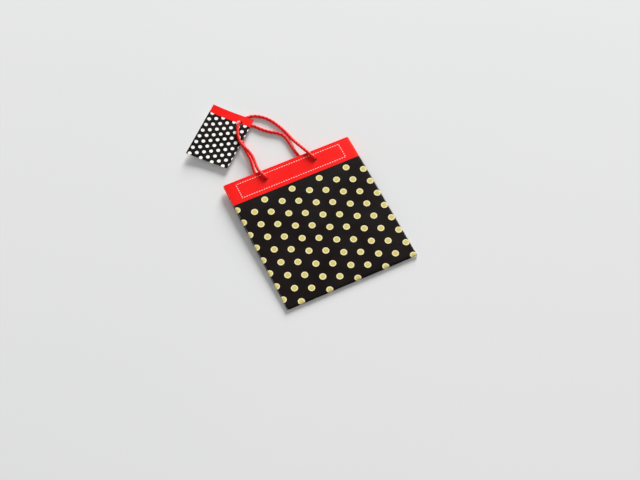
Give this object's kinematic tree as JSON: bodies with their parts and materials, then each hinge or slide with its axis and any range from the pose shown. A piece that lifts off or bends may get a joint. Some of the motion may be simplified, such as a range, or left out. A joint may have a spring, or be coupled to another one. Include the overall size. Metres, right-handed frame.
{
  "type": "gift bag",
  "caption": "Small paper gift bag, folded flat, with gusseted sides that open, a fold-out base, two rope handles and a swing tag on one rope.",
  "frame": {"origin": "on the floor under the middle of the flat bag, handles and tag left out", "axes": "+X across the width to the right when the front is looked at, +Y up the bag towards its mouth and handles, +Z out of the front"},
  "size_m": [0.159, 0.2541, 0.0102],
  "materials": {
    "printed_paper": "laminated art paper, satin, printed black with gold dots and a red band at the mouth",
    "board": "white-lined grey board, matt",
    "rope": "twisted three-strand polypropylene rope, soft sheen",
    "clip_steel": "thin tinned steel",
    "tag_card": "printed card, satin, white cut edges"
  },
  "bodies": {
    "back": {"back_panel": "printed_paper", "back_board_strip": "board", "side_seam_tab": "printed_paper", "back_left_rope_end": "rope", "back_right_rope_end": "rope", "back_left_clip": "clip_steel", "back_right_clip": "clip_steel"},
    "left_gusset_back": {"left_gusset_back_half": "printed_paper"},
    "left_gusset_front": {"left_gusset_front_half": "printed_paper"},
    "front": {"front_panel": "printed_paper", "front_board_strip": "board", "front_left_rope_end": "rope", "front_right_rope_end": "rope", "front_left_clip": "clip_steel", "front_right_clip": "clip_steel"},
    "right_gusset_back": {"right_gusset_back_half": "printed_paper"},
    "right_gusset_front": {"right_gusset_front_half": "printed_paper"},
    "back_lower": {"back_lower_fold": "printed_paper"},
    "base": {"base_outer_flap": "printed_paper", "base_inner_flap": "printed_paper", "base_left_flap": "printed_paper", "base_right_flap": "printed_paper", "base_board": "board"},
    "front_handle": {"front_handle_rope": "rope"},
    "tag": {"tag": "tag_card"},
    "back_handle": {"back_handle_rope": "rope"}
  },
  "joints": [
    {"name": "bag_open", "type": "hinge", "parent": "back", "child": "left_gusset_back", "pos_m": [-0.07, 0, 0.00425], "axis": [0, -1, 0], "range_deg": [0, 90]},
    {"name": "left_gusset_fold", "type": "hinge", "parent": "left_gusset_back", "child": "left_gusset_front", "pos_m": [-0.04085, 0, 0.0051], "axis": [0, -1, 0], "range_deg": [-180, 0]},
    {"name": "left_front_fold", "type": "hinge", "parent": "left_gusset_front", "child": "front", "pos_m": [-0.07, 0, 0.00595], "axis": [0, -1, 0], "range_deg": [0, 90]},
    {"name": "right_back_fold", "type": "hinge", "parent": "back", "child": "right_gusset_back", "pos_m": [0.07, 0, 0.00425], "axis": [0, 1, 0], "range_deg": [0, 90]},
    {"name": "right_gusset_fold", "type": "hinge", "parent": "right_gusset_back", "child": "right_gusset_front", "pos_m": [0.04085, 0, 0.0051], "axis": [0, 1, 0], "range_deg": [-180, 0]},
    {"name": "back_lower_unfold", "type": "hinge", "parent": "back", "child": "back_lower", "pos_m": [0, -0.0475, 0.0034], "axis": [-1, 0, 0], "range_deg": [0, 180]},
    {"name": "base_unfold", "type": "hinge", "parent": "back_lower", "child": "base", "pos_m": [0, -0.0175, 0.003], "axis": [1, 0, 0], "range_deg": [0, 90]},
    {"name": "front_handle_swing", "type": "hinge", "parent": "front", "child": "front_handle", "pos_m": [0, 0.066, 0.0085], "axis": [1, 0, 0], "range_deg": [0, 165]},
    {"name": "tag_swivel", "type": "hinge", "parent": "front_handle", "child": "tag", "pos_m": [-0.02354, 0.14428, 0.0038], "axis": [0, 0, 1], "range_deg": [-30, 30]},
    {"name": "back_handle_swing", "type": "hinge", "parent": "back", "child": "back_handle", "pos_m": [0, 0.066, 0.0017], "axis": [-1, 0, 0], "range_deg": [0, 165]}
  ],
  "couplings": [
    {"joint": "left_gusset_fold", "follows": "bag_open", "ratio": -2},
    {"joint": "left_front_fold", "follows": "bag_open", "ratio": 1},
    {"joint": "right_back_fold", "follows": "bag_open", "ratio": 1},
    {"joint": "right_gusset_fold", "follows": "bag_open", "ratio": -2},
    {"joint": "back_lower_unfold", "follows": "bag_open", "ratio": 2},
    {"joint": "base_unfold", "follows": "bag_open", "ratio": 1}
  ]
}
